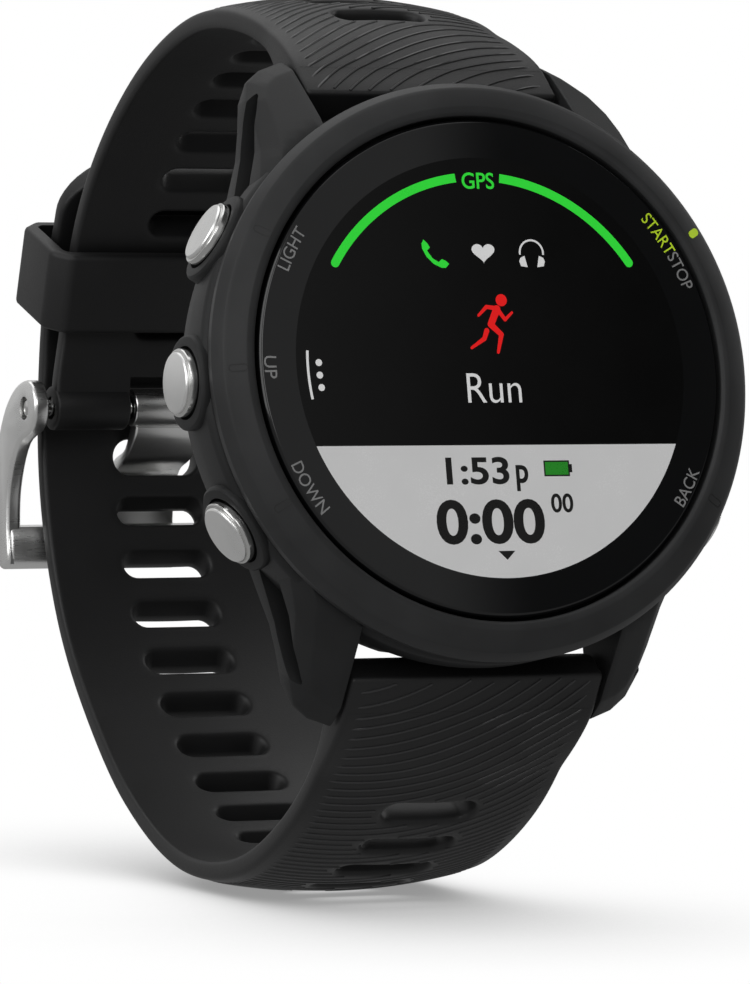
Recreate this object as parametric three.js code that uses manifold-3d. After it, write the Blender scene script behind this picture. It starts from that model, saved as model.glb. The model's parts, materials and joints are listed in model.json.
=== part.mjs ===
// A round GPS running watch, buckled shut and standing on the bottom of its strap loop. Millimetres.
// Inside the watch group X points to 3 o'clock, Z to 12 o'clock and Y from the glass into the wrist;
// the origin is the dial's centre on the face of the glass.
import * as THREE from "three";
import { mergeVertices } from "three/addons/utils/BufferGeometryUtils.js";
import Module from "manifold-3d";

const wasm = await Module();
wasm.setup();

// Driving dimensions
const CASE_RADIUS = 22.8;
const LENS_RADIUS = 19.55;
const BACK_DEPTH = 12.2; // from the glass to the flat of the back cover
const SENSOR_DEPTH = 12.9; // to the top of the sensor window
const CAVITY_RADIUS = 18.8;
const LUG_INSIDE = 11.15; // half the space between two lugs
const BAR_Y = 9.6; // spring bars
const BAR_Z = 23.3;
const STRAP_HALF = 10.85; // half the strap's width
const STRAP_CROWN = 2.7; // thickness along the middle
const STRAP_EDGE = 1.5; // thickness along the edges
const SLOT_LENGTH = 8.8;
const SLOT_WIDTH = 3.1;
const BUTTON_DEPTH = 6.6; // button axes, behind the glass
const BUTTON_FACE = 23.9; // button caps' outer faces, from the dial's axis
const CAP_RADIUS = 2.65;
const STEM_RADIUS = 0.7;
const PIN_Y = 65.1; // buckle pin
const PIN_Z = 8.4;
const PIN_RADIUS = 0.7;
const GAP = 0.3;
const KEEPER_DISTANCE = 57.6; // its middle, along the upper strap
const KEEPER_LENGTH = 7;
const SCREW_RADIUS = 17.9; // the back's screws, from the dial's axis
const CONTACT_Z = -12.6;
const CONTACT_PLACES = [-2.7, -0.9, 0.9, 2.7];
const LEVER_TILT = THREE.MathUtils.degToRad(25); // the levers point back, towards the case's middle
const LEAN = THREE.MathUtils.degToRad(12); // the dial tilts up by this much
const ROUND = 44; // sides on a case-sized circle
const HIDDEN_ROUND = 28; // and on one inside the case

// Slots along each strap, from its spring bar
const UPPER_SLOTS = { first: 9.6, pitch: 4.65, count: 12 };
const LOWER_SLOTS = { first: 12.05, pitch: 4.75, count: 20 };

const BUTTON_ANGLES = { light: 150, up: 180, down: 210, start: 30, back: -30 };

// The straps' inner faces, as [y, z] points from the spring bars to the far ends
const UPPER_PATH = [
  [11.3, 23.4], [15, 28], [21.6, 31.4], [30, 33.1], [40, 32], [49.5, 28.3],
  [56.6, 23.1], [61.1, 16.7], [63.2, 11], [63.8, 8.4],
];
const LOWER_PATH = [
  [11.3, -23.4], [15, -27.6], [21.7, -31.5], [32.4, -34], [44.3, -32.2], [54.5, -25.9],
  [61.6, -17.8], [65.9, -10.5], [68, -3], [68.3, 4], [66.9, 11.3], [64.3, 18.1], [59.2, 25.4], [56.3, 28],
];

// Materials
const POLYMER = { color: 0x2b2c2d, roughness: 0.62, metalness: 0 };
const BEZEL_POLYMER = { color: 0x303131, roughness: 0.55, metalness: 0 };
const GLASS = { color: 0x0d0e0f, roughness: 0.08, metalness: 0 };
const SILICONE = { color: 0x1c1c1d, roughness: 0.7, metalness: 0 };
const STEEL = { color: 0xc4c4c2, roughness: 0.3, metalness: 1 };
const RUBBER = { color: 0x141414, roughness: 0.85, metalness: 0 };
const BOARD = { color: 0x14432c, roughness: 0.6, metalness: 0 };
const FOIL = { color: 0xb9b9b4, roughness: 0.45, metalness: 0.6 };
const GOLD = { color: 0xd2a850, roughness: 0.3, metalness: 1 };

// ---- Solids

// A closed three.js geometry as a solid that can be joined and cut.
function solid(geometry) {
  const bare = geometry.index ? geometry.toNonIndexed() : geometry.clone();
  bare.deleteAttribute("normal");
  bare.deleteAttribute("uv");
  const merged = mergeVertices(bare, 1e-4);
  const corners = merged.index.array;
  const faces = [];
  for (let i = 0; i < corners.length; i += 3) {
    const [a, b, c] = [corners[i], corners[i + 1], corners[i + 2]];
    if (a !== b && b !== c && c !== a) faces.push(a, b, c);
  }
  const vertProperties = merged.attributes.position.array;
  const triVerts = new Uint32Array(faces);
  return new wasm.Manifold(new wasm.Mesh({ numProp: 3, vertProperties, triVerts }));
}

function geometryOf(made) {
  const { vertProperties, triVerts } = made.getMesh();
  const geometry = new THREE.BufferGeometry();
  geometry.setAttribute("position", new THREE.BufferAttribute(vertProperties, 3));
  geometry.setIndex(new THREE.BufferAttribute(triVerts, 1));
  geometry.computeVertexNormals();
  return geometry;
}

function join(...solids) {
  return solids.reduce((all, next) => all.add(next));
}

function cut(body, ...tools) {
  return tools.reduce((left, tool) => left.subtract(tool), body);
}

// Turned round the Y axis from a closed profile of [radius, y] corners.
function turned(profile, sides = ROUND) {
  const points = profile.map(([radius, y]) => new THREE.Vector2(radius, y));
  if (THREE.ShapeUtils.isClockWise(points)) points.reverse();
  return new THREE.LatheGeometry([...points, points[0]], sides);
}

function disc(radius, front, back, sides = ROUND) {
  return new THREE.CylinderGeometry(radius, radius, back - front, sides).translate(0, (front + back) / 2, 0);
}

// A round rod along X.
function rod(radius, from, to, sides = 16) {
  return disc(radius, -to, -from, sides).rotateZ(Math.PI / 2);
}

// A washer or ring round the X axis.
function ringAlongX(inner, outer, from, to, sides = 8) {
  return turned([[inner, -to], [outer, -to], [outer, -from], [inner, -from]], sides).rotateZ(Math.PI / 2);
}

function box(low, high) {
  const size = high.map((value, i) => value - low[i]);
  return new THREE.BoxGeometry(...size).translate(...high.map((value, i) => (value + low[i]) / 2));
}

function outline(points) {
  return new THREE.Shape(points.map(([a, b]) => new THREE.Vector2(a, b)));
}

// An outline drawn in X and Z, as thick as front to back along Y.
function seenFromFront(shape, front, back) {
  const settings = { depth: back - front, bevelEnabled: false, curveSegments: 8 };
  return new THREE.ExtrudeGeometry(shape, settings).rotateX(Math.PI / 2).translate(0, back, 0);
}

// An outline drawn in Y and Z, running from one X to another.
function seenFromSide(shape, from, to) {
  const settings = { depth: to - from, bevelEnabled: false, curveSegments: 8 };
  const axes = new THREE.Matrix4().makeBasis(
    new THREE.Vector3(0, 1, 0), new THREE.Vector3(0, 0, 1), new THREE.Vector3(1, 0, 0),
  );
  return new THREE.ExtrudeGeometry(shape, settings).applyMatrix4(axes).translate(from, 0, 0);
}

// ---- Scene graph

const watch = new THREE.Group();

function add(name, geometry, finish, parent = watch) {
  const closed = geometry.isBufferGeometry ? solid(geometry) : geometry;
  const mesh = new THREE.Mesh(geometryOf(closed), new THREE.MeshStandardMaterial(finish));
  mesh.name = name;
  parent.add(mesh);
  return mesh;
}

// ---- Front of the case

function bezel() {
  const inner = LENS_RADIUS + GAP;
  return turned([
    [inner, 3.2], [inner, 0], [20.6, -0.1], [22, 0.5], [CASE_RADIUS, 1.7], [22.6, 2.8], [22.2, 3.2],
  ]);
}

function glassLens() {
  const chamfer = 0.2;
  return turned([
    [0, 0], [LENS_RADIUS - chamfer, 0], [LENS_RADIUS, chamfer], [LENS_RADIUS, 1.6], [0, 1.6],
  ]);
}

function ring(inner, outer, front, back) {
  return turned([[inner, front], [outer, front], [outer, back], [inner, back]], HIDDEN_ROUND);
}

// ---- Middle of the case: the round wall with its four lugs and five button bosses

function caseWall() {
  return solid(turned([
    [17.6, 2.8], [19.5, 2.8], [19.5, 3.5], [22.1, 3.5], [22.35, 4.2], [22.1, 8.6],
    [21.3, 11.2], [20.9, 11.8], [20.1, 11.8], [20.1, 10.3],
    [CAVITY_RADIUS, 10.3], [CAVITY_RADIUS, 5.2], [17.6, 5.2],
  ]));
}

// One lug: its outline from the front, limited by its outline from the side, with the open pocket
// in its outer flank and the blind hole for the spring bar.
function lug(right, up) {
  const front = outline([
    [LUG_INSIDE, 13.5], [LUG_INSIDE, 25.8], [13.4, 25.3], [14.8, 24.1],
    [16.7, 19.8], [18.2, 12.6], [15, 11.8],
  ].map(([x, z]) => [right * x, up * z]));
  const side = outline([
    [3.7, 13], [3.7, 19.6], [4.4, 20.9], [8.3, 25.6], [9.2, 26], [11.2, 25.2], [12.3, 22.6],
    [12.1, 18.8], [11, 16.2], [9.6, 12],
  ].map(([y, z]) => [y, up * z]));
  const pocket = outline([
    [8.4, 22.3], [7.6, 20.4], [7.3, 17.8], [7.7, 15.6], [9.7, 15.6], [10.4, 17.6], [10.3, 19.8], [9.3, 21.8],
  ].map(([y, z]) => [y, up * z]));
  const pocketSides = [right * 14.6, right * 20].sort((a, b) => a - b);
  const holeEnds = [right * 10, right * 13.6].sort((a, b) => a - b);
  const block = solid(seenFromFront(front, 3, 13)).intersect(solid(seenFromSide(side, -20, 20)));
  return cut(
    block,
    solid(seenFromSide(pocket, ...pocketSides)),
    solid(rod(0.45 + GAP, ...holeEnds).translate(0, BAR_Y, up * BAR_Z)),
  );
}

// A button's boss on the wall, drawn for the 3 o'clock direction and turned to its own.
function buttonBoss(angle) {
  const face = outline([
    [-2.4, 3.5], [2.4, 3.5], [3.9, 5], [3.9, 8.2],
    [2.3, 9.8], [-2.3, 9.8], [-3.9, 8.2], [-3.9, 5],
  ]);
  const stand = new THREE.ExtrudeGeometry(face, { depth: 2.4, bevelEnabled: false })
    .rotateY(Math.PI / 2)
    .translate(20.6, 0, 0);
  return solid(stand.rotateY(-angle));
}

// The seat for its cap, the hole for its stem and the wider bore for the seal.
function buttonBore(angle) {
  const place = new THREE.Matrix4().makeRotationY(-angle).setPosition(0, BUTTON_DEPTH, 0);
  const seat = rod(CAP_RADIUS + 0.2, 21.9, 25, 16);
  const stem = rod(STEM_RADIUS + GAP, 18, 22.5, 8);
  const sealSeat = rod(1.9, 18, 19.8, 8);
  return join(...[seat, stem, sealSeat].map((bore) => solid(bore.applyMatrix4(place))));
}

// The posts that take the back's screws, inside the wall.
function screwPost(x, z) {
  const post = disc(1.5, 8.9, 10.3, 10).translate(x, 0, z);
  return solid(post);
}

function screwBore(x, z) {
  return solid(disc(0.5 + GAP, 9.2, 11, 8).translate(x, 0, z));
}

const SCREW_PLACES = [45, 135, 225, 315].map((degrees) => {
  const angle = THREE.MathUtils.degToRad(degrees);
  return [SCREW_RADIUS * Math.cos(angle), SCREW_RADIUS * Math.sin(angle)];
});

function midCase() {
  const angles = Object.values(BUTTON_ANGLES).map(THREE.MathUtils.degToRad);
  const corners = [[1, 1], [-1, 1], [1, -1], [-1, -1]];
  const strapSpaces = [1, -1].map((up) => {
    const ends = [up * 20.6, up * 27].sort((a, b) => a - b);
    return solid(box([-LUG_INSIDE, 2, ends[0]], [LUG_INSIDE, 14, ends[1]]));
  });
  const cavity = solid(disc(CAVITY_RADIUS, 5.2, 10.3));
  const coverSeat = solid(disc(20.1, 10.3, 14));
  const shell = cut(
    join(caseWall(), ...corners.map(([right, up]) => lug(right, up)), ...angles.map(buttonBoss)),
    ...strapSpaces,
    cavity,
    coverSeat,
  );
  const posted = join(shell, ...SCREW_PLACES.map(([x, z]) => screwPost(x, z)));
  return cut(
    posted,
    ...angles.map(buttonBore),
    ...SCREW_PLACES.map(([x, z]) => screwBore(x, z)),
  );
}

// ---- Inside the case

function innerChassis() {
  return turned([[0, 4], [15.9, 4], [15.9, 8.3], [15.2, 8.3], [15.2, 4.8], [0, 4.8]], HIDDEN_ROUND);
}

function mainBoard() {
  const board = solid(disc(15.7, 8.7, 9.5, HIDDEN_ROUND));
  return cut(board, solid(box([-4, 8, 12.5], [4, 10, 17])));
}

function battery() {
  const [radius, edge] = [12.2, 0.6];
  return turned([
    [0, 5.1], [radius - edge, 5.1], [radius, 5.1 + edge],
    [radius, 8.3 - edge], [radius - edge, 8.3], [0, 8.3],
  ], HIDDEN_ROUND);
}

function gpsAntenna() {
  const shape = new THREE.Shape();
  const [start, end] = [THREE.MathUtils.degToRad(58), THREE.MathUtils.degToRad(122)];
  shape.absarc(0, 0, 18.4, start, end, false);
  shape.absarc(0, 0, 17.2, end, start, true);
  return seenFromFront(shape, 6, 9);
}

// ---- Back of the case

function backCover() {
  const plate = solid(turned([
    [6.3, 10.95], [19.8, 10.95], [19.8, 11.7], [19.3, BACK_DEPTH],
    [7.3, BACK_DEPTH], [7.3, 11.2], [6.3, 11.2],
  ]));
  const heads = SCREW_PLACES.map(([x, z]) => solid(disc(1.15 + GAP, 11.5, 13, 10).translate(x, 0, z)));
  const shanks = SCREW_PLACES.map(([x, z]) => solid(disc(0.5 + GAP, 10, 12, 8).translate(x, 0, z)));
  const contactHoles = CONTACT_PLACES.map((x) => solid(disc(0.8, 10, 13, 8).translate(x, 0, CONTACT_Z)));
  const socket = solid(box([-4, 11.7, CONTACT_Z - 1.6], [4, 13, CONTACT_Z + 1.6]));
  return cut(plate, ...heads, ...shanks, ...contactHoles, socket);
}

function sensorWindow() {
  return turned([
    [0, 11.45], [7, 11.45], [7, BACK_DEPTH], [6.2, 12.6], [4, SENSOR_DEPTH], [0, SENSOR_DEPTH],
  ], HIDDEN_ROUND);
}

// A screw that points at the glass, its head seated in the back cover.
function caseScrew() {
  const head = solid(disc(1.15, 11.75, BACK_DEPTH - 0.1, 10));
  const shank = solid(disc(0.5, 9.5, 11.8, 8));
  const slot = solid(box([-2, 11.95, -0.15], [2, 13, 0.15]));
  return cut(join(head, shank), slot);
}

// ---- Buttons, drawn for the 3 o'clock direction

function buttonCap() {
  const chamfer = 0.25;
  const cap = solid(turned([
    [0, -22.75], [CAP_RADIUS, -22.75], [CAP_RADIUS, -BUTTON_FACE + chamfer],
    [CAP_RADIUS - chamfer, -BUTTON_FACE], [0, -BUTTON_FACE],
  ], 16).rotateZ(Math.PI / 2));
  return join(cap, solid(rod(STEM_RADIUS, 18.05, 23, 8)));
}

function switchBody() {
  const body = solid(box([16.2, -1.3, -1.6], [17, 1.3, 1.6]));
  return join(body, solid(rod(0.5, 16.8, 17.25, 8)));
}

// ---- Strap

function strapCurve(path) {
  return new THREE.CatmullRomCurve3(path.map(([y, z]) => new THREE.Vector3(0, y, z)));
}

// The section stands on the inner face; outward is 1 or -1, the side of the path that faces out.
function strapSection(outward) {
  const shape = new THREE.Shape();
  shape.moveTo(-STRAP_HALF, 0);
  shape.lineTo(STRAP_HALF, 0);
  shape.lineTo(STRAP_HALF, outward * STRAP_EDGE);
  shape.quadraticCurveTo(
    0, outward * (2 * STRAP_CROWN - STRAP_EDGE), -STRAP_HALF, outward * STRAP_EDGE,
  );
  return shape;
}

// Local axes at a distance along a strap: X across it, Y along it, Z square to its face.
function axesAlong(curve, distance) {
  const share = distance / curve.getLength();
  const along = curve.getTangentAt(share);
  const across = new THREE.Vector3(1, 0, 0);
  return new THREE.Matrix4()
    .makeBasis(across, along, across.clone().cross(along))
    .setPosition(curve.getPointAt(share));
}

function sweptStrap(curve, outward, steps) {
  // ExtrudeGeometry lays the shape's X along the path's normal, which here is -X.
  const settings = { steps, extrudePath: curve, bevelEnabled: false, curveSegments: 4 };
  return solid(new THREE.ExtrudeGeometry(strapSection(outward), settings));
}

function slotTool(curve, distance) {
  const straight = (SLOT_LENGTH - SLOT_WIDTH) / 2;
  const shape = new THREE.Shape();
  shape.absarc(straight, 0, SLOT_WIDTH / 2, -Math.PI / 2, Math.PI / 2, false);
  shape.absarc(-straight, 0, SLOT_WIDTH / 2, Math.PI / 2, 1.5 * Math.PI, false);
  const tool = new THREE.ExtrudeGeometry(shape, { depth: 10, bevelEnabled: false, curveSegments: 3 });
  return solid(tool.translate(0, 0, -5).applyMatrix4(axesAlong(curve, distance)));
}

// The knuckle round a spring bar, and the tools that bore it and open the window for the lever.
function barKnuckle(up) {
  return solid(rod(2.1, -STRAP_HALF, STRAP_HALF, 14).translate(0, BAR_Y, up * BAR_Z));
}

function barBore(up) {
  return solid(rod(1 + GAP, -12, 12, 10).translate(0, BAR_Y, up * BAR_Z));
}

function leverWindow(up) {
  const window = box([-9.2, 0, -1.3], [-4.4, 6, 1.3]);
  return solid(window.rotateX(-up * LEVER_TILT).translate(0, BAR_Y, up * BAR_Z));
}

const upperCurve = strapCurve(UPPER_PATH);
const lowerCurve = strapCurve(LOWER_PATH);

function slotDistances({ first, pitch, count }) {
  return Array.from({ length: count }, (_, i) => first + i * pitch);
}

function strapUpper() {
  const end = solid(rod(1.9, -STRAP_HALF, STRAP_HALF, 14).translate(0, PIN_Y, PIN_Z));
  const body = join(sweptStrap(upperCurve, 1, 24), barKnuckle(1), end);
  const tongueSpace = solid(box([-4.1, 60, 3], [4.1, 70, 11]));
  const pinBore = solid(rod(PIN_RADIUS + GAP, -12, 12, 10).translate(0, PIN_Y, PIN_Z));
  const slots = slotDistances(UPPER_SLOTS).map((distance) => slotTool(upperCurve, distance));
  return cut(body, barBore(1), leverWindow(1), tongueSpace, pinBore, ...slots);
}

// What is left outside the tail's round tip.
function tipTrim() {
  const shape = outline([[-12, -5.5], [-12, 3], [12, 3], [12, -5.5], [STRAP_HALF, -5.5]]);
  shape.absellipse(0, -5.5, STRAP_HALF, 5.5, 0, Math.PI, false, 0);
  const tool = new THREE.ExtrudeGeometry(shape, { depth: 10, bevelEnabled: false, curveSegments: 8 });
  return solid(tool.translate(0, 0, -5).applyMatrix4(axesAlong(lowerCurve, lowerCurve.getLength())));
}

function strapLower() {
  const body = join(sweptStrap(lowerCurve, -1, 38), barKnuckle(-1));
  const slots = slotDistances(LOWER_SLOTS).map((distance) => slotTool(lowerCurve, distance));
  return cut(body, barBore(-1), leverWindow(-1), tipTrim(), ...slots);
}

// The tube of a spring bar with its fixed pin, open at one end for the pin that the lever moves.
function springBar() {
  const tube = join(solid(rod(1, -9.9, 10.4, 10)), solid(rod(0.45, 10, 12.8, 8)));
  const bore = solid(rod(0.75, -11, -2, 8));
  const slot = solid(box([-8.8, 0, -0.75], [-4.9, 2, 0.75]).rotateX(-LEVER_TILT));
  return cut(tube, bore, slot);
}

function releasePin() {
  const pin = solid(rod(0.45, -12.8, -5.4, 8));
  const lever = solid(disc(0.5, 0, 3.3, 8).translate(-7.7, 0, 0).rotateX(-LEVER_TILT));
  return join(pin, lever);
}

// ---- Keeper and buckle

// The keeper: a chamfered loop round both layers of strap, in the strap's local axes.
function keeper() {
  const [halfWidth, halfHeight, wall] = [STRAP_HALF + 0.45, 3.65, 1.2];
  const loop = (grow, round) => {
    const [w, h] = [halfWidth + grow, halfHeight + grow];
    return outline([
      [-w + round, -h], [w - round, -h], [w, -h + round], [w, h - round],
      [w - round, h], [-w + round, h], [-w, h - round], [-w, -h + round],
    ]);
  };
  const shape = loop(wall, 1.5);
  shape.holes.push(loop(0, 0.5));
  const middle = 3.05; // between the two layers
  return new THREE.ExtrudeGeometry(shape, { depth: KEEPER_LENGTH, bevelEnabled: false })
    .translate(0, 0, -KEEPER_LENGTH / 2)
    .rotateX(Math.PI / 2)
    .translate(0, 0, middle);
}

function buckleFrame() {
  const arm = outline([
    [66.4, 10.7], [69.6, 9.3], [72.6, 5.6], [74.2, 1], [74.3, -2.6], [73.4, -4.2], [71.4, -4.2],
    [71.2, -1], [70.2, 2.4], [67.4, 5.6], [63.6, 6.5], [62.6, 8.4], [63.6, 10.4],
  ]);
  const bar = outline([[71.2, -0.8], [74.25, -0.8], [74.3, -2.6], [73.4, -4.2], [71.4, -4.2]]);
  const [inside, outside] = [11.9, 13.3];
  const frame = join(
    solid(seenFromSide(arm, inside, outside)),
    solid(seenFromSide(arm, -outside, -inside)),
    solid(seenFromSide(bar, -outside + 0.2, outside - 0.2)),
  );
  const notch = solid(box([-3.5, 72.6, -6], [3.5, 76, 1]));
  const pinHole = solid(rod(PIN_RADIUS + GAP, -15, 15, 12).translate(0, PIN_Y, PIN_Z));
  return cut(frame, notch, pinHole);
}

// The tongue curls round the pin, goes out through a slot of the tail and down over the frame's bar.
function buckleTongue() {
  const plate = outline([
    [65.8, 7.4], [68, 5.35], [70.9, 4.75], [72.8, 3.15], [74, 0], [74.4, -4], [73.3, -4.2],
    [73, -0.3], [72.1, 2.2], [70.7, 3.75], [67.7, 4.45], [65, 6.6],
  ]);
  const body = join(
    solid(rod(1.6, -3.5, 3.5, 18).translate(0, PIN_Y, PIN_Z)),
    solid(seenFromSide(plate, -3.1, 3.1)),
  );
  return cut(body, solid(rod(PIN_RADIUS + GAP, -5, 5, 12).translate(0, PIN_Y, PIN_Z)));
}

// ---- Assembly

add("bezel", bezel(), BEZEL_POLYMER);
add("glass_lens", glassLens(), GLASS);
add("lens_gasket", ring(17.9, 19.2, 1.9, 2.5), RUBBER);
add("display_panel", disc(17.2, 1.9, 3.6), GLASS);
add("mid_case", midCase(), POLYMER);
add("inner_chassis", innerChassis(), POLYMER);
add("battery", battery(), FOIL);
add("vibration_motor", disc(1.15, -2.5, 2.5, 10).rotateX(Math.PI / 2), STEEL).position.set(13.75, 6.6, 0);
add("gps_antenna", gpsAntenna(), GOLD);
add("main_board", mainBoard(), BOARD);
add("beeper", disc(3.2, 9.9, 10.5, 16), GOLD).position.set(-9, 0, 7);
add("back_gasket", ring(19.1, 19.7, 10.5, 10.75), RUBBER);
add("back_cover", backCover(), POLYMER);
add("sensor_board", disc(5.8, 9.9, 10.7, 20), BOARD);
add("sensor_window", sensorWindow(), GLASS);

SCREW_PLACES.forEach(([x, z], i) => {
  add(`case_screw_${i + 1}`, caseScrew(), STEEL).position.set(x, 0, z);
});

CONTACT_PLACES.forEach((x, i) => {
  add(`charging_contact_${i + 1}`, disc(0.5, 10, 12, 8), GOLD).position.set(x, 0, CONTACT_Z);
});

for (const [name, degrees] of Object.entries(BUTTON_ANGLES)) {
  const station = new THREE.Group();
  station.position.y = BUTTON_DEPTH;
  station.rotation.y = -THREE.MathUtils.degToRad(degrees);
  watch.add(station);
  add(`button_${name}`, buttonCap(), STEEL, station);
  add(`button_${name}_seal`, ringAlongX(1, 1.6, 19, 19.6), RUBBER, station);
  add(`button_${name}_clip`, ringAlongX(0.85, 1.5, 18.3, 18.5), STEEL, station);
  add(`button_${name}_switch`, switchBody(), RUBBER, station);
}

add("strap_upper", strapUpper(), SILICONE);
add("strap_lower", strapLower(), SILICONE);

for (const [name, up] of [["upper", 1], ["lower", -1]]) {
  const bar = new THREE.Group();
  bar.position.set(0, BAR_Y, up * BAR_Z);
  bar.rotation.x = up > 0 ? 0 : 2 * LEVER_TILT;
  watch.add(bar);
  add(`spring_bar_${name}`, springBar(), STEEL, bar);
  add(`release_pin_${name}`, releasePin(), STEEL, bar);
}

add("keeper", keeper(), SILICONE).applyMatrix4(axesAlong(upperCurve, KEEPER_DISTANCE));

add("buckle_pin", rod(PIN_RADIUS, -13.1, 13.1, 12), STEEL).position.set(0, PIN_Y, PIN_Z);
add("buckle_frame", buckleFrame(), STEEL);
add("buckle_tongue", buckleTongue(), STEEL);

// The watch leans back on the floor, its footprint centred on the origin.
watch.rotation.x = -LEAN;
const bounds = new THREE.Box3().setFromObject(watch, true);
const centre = bounds.getCenter(new THREE.Vector3());
watch.position.set(-centre.x, -centre.y, -bounds.min.z);

const object = new THREE.Group();
object.add(watch);

export default object;
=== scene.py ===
import json
import math
from bisect import bisect_right
import bmesh
import bpy
from mathutils import Matrix, Vector


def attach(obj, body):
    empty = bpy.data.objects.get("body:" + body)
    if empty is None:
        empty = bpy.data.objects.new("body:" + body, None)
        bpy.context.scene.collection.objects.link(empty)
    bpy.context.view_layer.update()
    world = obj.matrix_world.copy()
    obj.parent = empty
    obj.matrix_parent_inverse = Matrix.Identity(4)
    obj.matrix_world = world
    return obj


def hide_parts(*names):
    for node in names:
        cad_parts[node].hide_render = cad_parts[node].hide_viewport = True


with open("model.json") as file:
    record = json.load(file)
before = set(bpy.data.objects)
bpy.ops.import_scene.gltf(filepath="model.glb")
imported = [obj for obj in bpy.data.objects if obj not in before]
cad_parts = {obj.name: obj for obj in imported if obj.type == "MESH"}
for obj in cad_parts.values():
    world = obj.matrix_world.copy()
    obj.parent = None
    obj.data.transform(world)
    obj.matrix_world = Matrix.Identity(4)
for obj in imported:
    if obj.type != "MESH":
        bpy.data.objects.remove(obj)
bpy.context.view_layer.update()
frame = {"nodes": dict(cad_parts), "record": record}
print("frame loaded")

# Shapes are drawn in millimetres as the wearer sees the watch: X to 3 o'clock, Z to 12 o'clock
# and Y from the glass into the wrist. The frame's glass mount says where that lies on the floor.
glassMount = next(m for m in frame["record"]["mounts"] if m["name"] == "glass_face")
intoWrist = -Vector(glassMount["axis"])
toThree = Vector((1, 0, 0))
toTwelve = toThree.cross(intoWrist)
turnToFloor = Matrix((toThree, intoWrist, toTwelve)).transposed().to_4x4()
watchPlace = Matrix.Translation(glassMount["pos_m"]) @ turnToFloor @ Matrix.Scale(0.001, 4)

watch = {
    "lensRadius": 19.55,
    "displayRadius": 16.5,
    "lugInside": 11.15,
    "barY": 9.6,
    "barZ": 23.3,
    "pinY": 65.1,
    "pinZ": 8.4,
    "buttonDepth": 6.6,
}
buttonAngles = {"light": 150, "up": 180, "down": 210, "start": 30, "back": -30}


# ---------- shaping

def polar(radius, degrees):
    angle = math.radians(degrees)
    return radius * math.cos(angle), radius * math.sin(angle)


def dialTurn(angle):
    return Matrix.Rotation(-math.radians(angle), 4, "Y")


def turned(profile, steps=128, onAxis=False):
    # spins [radius, y] corners round the dial's axis; with onAxis they start and end there
    bm = bmesh.new()
    corners = [bm.verts.new((radius, y, 0)) for radius, y in profile]
    pairs = list(zip(corners, corners[1:]))
    if not onAxis:
        pairs.append((corners[-1], corners[0]))
    edges = [bm.edges.new(pair) for pair in pairs]
    bmesh.ops.spin(
        bm, geom=corners + edges, cent=(0, 0, 0), axis=(0, 1, 0),
        angle=2 * math.pi, steps=steps, use_merge=True,
    )
    bmesh.ops.remove_doubles(bm, verts=bm.verts, dist=1e-4)
    bmesh.ops.recalc_face_normals(bm, faces=bm.faces)
    return bm


def newVerts(made):
    return [item for item in made["geom"] if isinstance(item, bmesh.types.BMVert)]


def prism(outline, along, low, high):
    # an outline in the plane square to one axis, as [a, b] in the order X, Y, Z without that axis
    def corner(a, b):
        place = [a, b]
        place.insert("XYZ".index(along), low)
        return place

    bm = bmesh.new()
    face = bm.faces.new([bm.verts.new(corner(a, b)) for a, b in outline])
    made = bmesh.ops.extrude_face_region(bm, geom=[face])
    push = Vector([high - low if along == name else 0 for name in "XYZ"])
    bmesh.ops.translate(bm, vec=push, verts=newVerts(made))
    bmesh.ops.recalc_face_normals(bm, faces=bm.faces)
    return bm


def rod(radius, low, high, y=0, z=0, sides=48):
    # a round rod along X
    bm = bmesh.new()
    made = bmesh.ops.create_cone(
        bm, cap_ends=True, segments=sides, radius1=radius, radius2=radius, depth=high - low,
    )
    turn = Matrix.Translation(((high + low) / 2, y, z)) @ Matrix.Rotation(math.pi / 2, 4, "Y")
    bmesh.ops.transform(bm, matrix=turn, verts=made["verts"])
    return bm


def block(low, high):
    bm = bmesh.new()
    made = bmesh.ops.create_cube(bm, size=1)
    size = [b - a for a, b in zip(low, high)]
    middle = [(a + b) / 2 for a, b in zip(low, high)]
    place = Matrix.Translation(middle) @ Matrix.Diagonal((*size, 1))
    bmesh.ops.transform(bm, matrix=place, verts=made["verts"])
    return bm


def softened(bm, width, segments=3, sharper=28):
    limit = math.radians(sharper)
    edges = [e for e in bm.edges if len(e.link_faces) == 2 and e.calc_face_angle(0) > limit]
    bmesh.ops.bevel(
        bm, geom=edges, offset=width, offset_type="OFFSET", segments=segments,
        profile=0.5, affect="EDGES", clamp_overlap=True, material=-1,
    )
    return bm


def linked(name, data):
    made = bpy.data.objects.new(name, data)
    bpy.context.scene.collection.objects.link(made)
    return made


def carved(bm, tool, operation="DIFFERENCE"):
    holders = []
    for name, shape in (("carvedShape", bm), ("carvingTool", tool)):
        mesh = bpy.data.meshes.new(name)
        bmesh.ops.recalc_face_normals(shape, faces=shape.faces)
        shape.to_mesh(mesh)
        shape.free()
        holders.append(linked(name, mesh))
    cutter = holders[0].modifiers.new("cut", "BOOLEAN")
    cutter.operation = operation
    cutter.solver = "EXACT"
    cutter.object = holders[1]
    depsgraph = bpy.context.evaluated_depsgraph_get()
    mesh = bpy.data.meshes.new_from_object(holders[0].evaluated_get(depsgraph))
    result = bmesh.new()
    result.from_mesh(mesh)
    for holder in holders:
        bpy.data.objects.remove(holder)
    bpy.data.meshes.remove(mesh)
    return result


def joined(bm, *others):
    for other in others:
        mesh = bpy.data.meshes.new("part")
        other.to_mesh(mesh)
        other.free()
        bm.from_mesh(mesh)
        bpy.data.meshes.remove(mesh)
    return bm


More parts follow.
